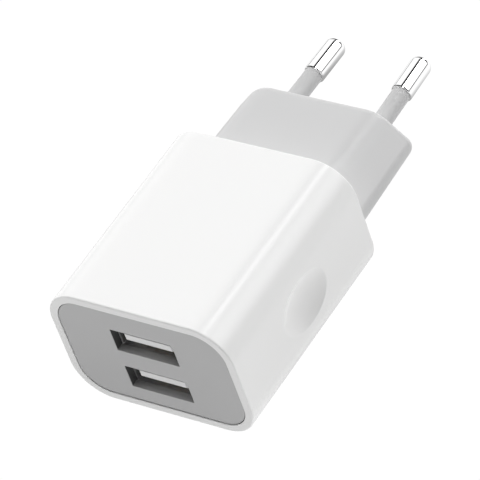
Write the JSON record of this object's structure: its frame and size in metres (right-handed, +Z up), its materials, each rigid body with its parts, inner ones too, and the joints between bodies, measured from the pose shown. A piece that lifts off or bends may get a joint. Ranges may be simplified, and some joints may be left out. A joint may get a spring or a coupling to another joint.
{
  "type": "usb wall charger",
  "caption": "Mains adapter with a rounded box body, a flat round-pin plug block and stacked USB-A sockets that feeds low-voltage power to phones and tablets.",
  "frame": {"origin": "centre of the footprint at the height of the body's underside", "axes": "+X to the right seen from the socket end, +Y from the socket face towards the pin tips, +Z up through the broad face above the sockets' tongues"},
  "size_m": [0.0376, 0.0783, 0.025],
  "materials": {
    "white_shell": "glossy white moulding",
    "grey_shell": "light grey moulding, satin",
    "plated_pin": "bright nickel plating",
    "collar_plastic": "light grey sleeve, satin",
    "socket_steel": "plain stamped steel",
    "tongue_plastic": "pale moulding",
    "contact_brass": "gold-flashed strip",
    "board_laminate": "green resist on laminate",
    "ferrite": "dark fired ferrite",
    "bobbin_plastic": "black moulding",
    "copper_wire": "enamelled copper wire",
    "yellow_tape": "polyester tape",
    "tinned_lead": "bright tinned wire",
    "capacitor_sleeve": "shrunk plastic sleeve",
    "capacitor_can": "bare drawn can",
    "blue_ceramic": "dipped coat",
    "resistor_coat": "flame-proof coat",
    "chip_plastic": "moulded package",
    "wire_brown": "soft insulation",
    "wire_blue": "soft insulation"
  },
  "bodies": {
    "charger": {"board_link_pins": "tinned_lead", "bridge_rectifier": "chip_plastic", "capacitor_leads": "tinned_lead", "choke_core": "ferrite", "choke_winding": "copper_wire", "controller_chip": "chip_plastic", "disc_capacitor": "blue_ceramic", "front_plate": "grey_shell", "fusible_resistor": "resistor_coat", "input_capacitor_front": "capacitor_sleeve", "input_capacitor_rear": "capacitor_sleeve", "lower_contact_tails": "contact_brass", "lower_usb_shell": "socket_steel", "lower_usb_tongue": "tongue_plastic", "main_board": "board_laminate", "mains_wire_left": "wire_brown", "mains_wire_right": "wire_blue", "outer_sleeve": "white_shell", "output_board": "board_laminate", "output_capacitor_left": "capacitor_can", "output_capacitor_right": "capacitor_can", "output_diode": "chip_plastic", "pin_collar_left": "collar_plastic", "pin_collar_right": "collar_plastic", "pin_left": "plated_pin", "pin_right": "plated_pin", "plug_base": "grey_shell", "resistor_leads": "tinned_lead", "transformer_bobbin": "bobbin_plastic", "transformer_core": "ferrite", "transformer_pins": "tinned_lead", "transformer_tape": "yellow_tape", "transformer_winding": "copper_wire", "upper_contact_tails": "contact_brass", "upper_usb_shell": "socket_steel", "upper_usb_tongue": "tongue_plastic"},
    "upper_contacts": {"upper_contact_blades": "contact_brass"},
    "lower_contacts": {"lower_contact_blades": "contact_brass"}
  },
  "joints": [
    {"name": "upper_contacts_press", "type": "hinge", "parent": "charger", "child": "upper_contacts", "pos_m": [0, -0.02815, 0.0164], "axis": [-1, 0, 0], "range_deg": [0, 5], "stiffness_Nm_per_rad": 0.1},
    {"name": "lower_contacts_press", "type": "hinge", "parent": "charger", "child": "lower_contacts", "pos_m": [0, -0.02815, 0.00743], "axis": [-1, 0, 0], "range_deg": [0, 5], "stiffness_Nm_per_rad": 0.1}
  ]
}
